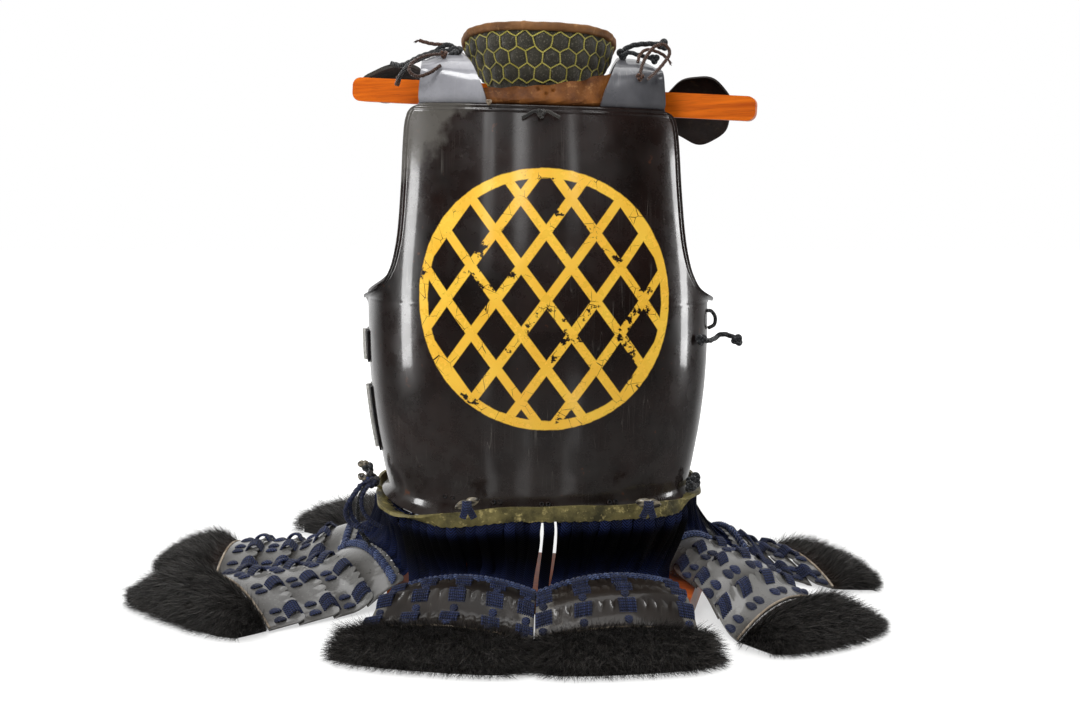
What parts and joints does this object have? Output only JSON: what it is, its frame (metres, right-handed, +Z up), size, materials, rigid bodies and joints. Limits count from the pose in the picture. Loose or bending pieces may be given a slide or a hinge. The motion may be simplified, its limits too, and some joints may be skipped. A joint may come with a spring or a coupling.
{
  "type": "samurai armour on a wooden stand",
  "caption": "Smooth two-plate cuirass with padded collar and fur-edged skirt panels laced to its waist, hung back outward on a wooden stand with the panels spread on the floor.",
  "frame": {"origin": "on the floor under the armour, in the plane of the stand's base board underside", "axes": "+Z up, the armour's back faces -Y, its hinged side is at -X and its tied side at +X"},
  "size_m": [0.755, 0.6445, 0.5586],
  "materials": {
    "wood": "clear varnished orange softwood",
    "lacquer": "glossy dark brown-black lacquer over plate, worn",
    "strap_lacquer": "grey-black lacquer over iron",
    "lame_lacquer": "grey lacquer over iron lames, worn brown on two panels",
    "brown_leather": "smoked brown leather",
    "belt_leather": "worn olive-gold leather",
    "collar_cloth": "black cloth, quilted with yellow-green hexagons on the collar",
    "navy_lacing": "navy silk braid",
    "black_cord": "black braided cord",
    "brown_cord": "brown twisted cord",
    "bear_fur": "black bear fur with brown roots",
    "iron": "blackened iron",
    "horn": "polished horn"
  },
  "bodies": {
    "root": {"stand_base_board": "wood", "stand_crossbar": "wood", "stand_post_left": "wood", "stand_post_right": "wood", "back_plate": "lacquer", "front_plate": "lacquer", "hinge_upper_back_leaf": "iron", "hinge_upper_front_leaf": "iron", "hinge_upper_pin": "iron", "hinge_lower_back_leaf": "iron", "hinge_lower_front_leaf": "iron", "hinge_lower_pin": "iron", "shoulder_strap_left": "strap_lacquer", "shoulder_strap_right": "strap_lacquer", "shoulder_pad_left": "collar_cloth", "shoulder_pad_right": "collar_cloth", "neck_leather": "brown_leather", "collar": "collar_cloth", "collar_binding": "brown_leather", "shoulder_wing_left": "brown_leather", "shoulder_wing_right": "brown_leather", "belt_back": "belt_leather", "belt_front": "belt_leather", "skirt_panel_back_left": "lame_lacquer", "fur_trim_back_left": "bear_fur", "lacing_back_left": "navy_lacing", "skirt_panel_back_right": "lame_lacquer", "fur_trim_back_right": "bear_fur", "lacing_back_right": "navy_lacing", "skirt_panel_side_left_rear": "lame_lacquer", "fur_trim_side_left_rear": "bear_fur", "lacing_side_left_rear": "navy_lacing", "skirt_panel_side_right_rear": "lame_lacquer", "fur_trim_side_right_rear": "bear_fur", "lacing_side_right_rear": "navy_lacing", "skirt_panel_side_left_front": "lame_lacquer", "fur_trim_side_left_front": "bear_fur", "lacing_side_left_front": "navy_lacing", "skirt_panel_side_right_front": "lame_lacquer", "fur_trim_side_right_front": "bear_fur", "lacing_side_right_front": "navy_lacing", "skirt_panel_front_left": "lame_lacquer", "fur_trim_front_left": "bear_fur", "lacing_front_left": "navy_lacing", "skirt_panel_front_right": "lame_lacquer", "fur_trim_front_right": "bear_fur", "lacing_front_right": "navy_lacing", "cord_left_black": "black_cord", "cord_left_brown": "brown_cord", "cord_right_black": "black_cord", "cord_right_brown": "brown_cord", "cord_side_tie": "black_cord", "cord_waist_left": "navy_lacing", "toggle_back_left": "horn", "toggle_back_right": "horn", "toggle_side_upper": "horn", "toggle_side_lower": "horn"}
  },
  "joints": []
}
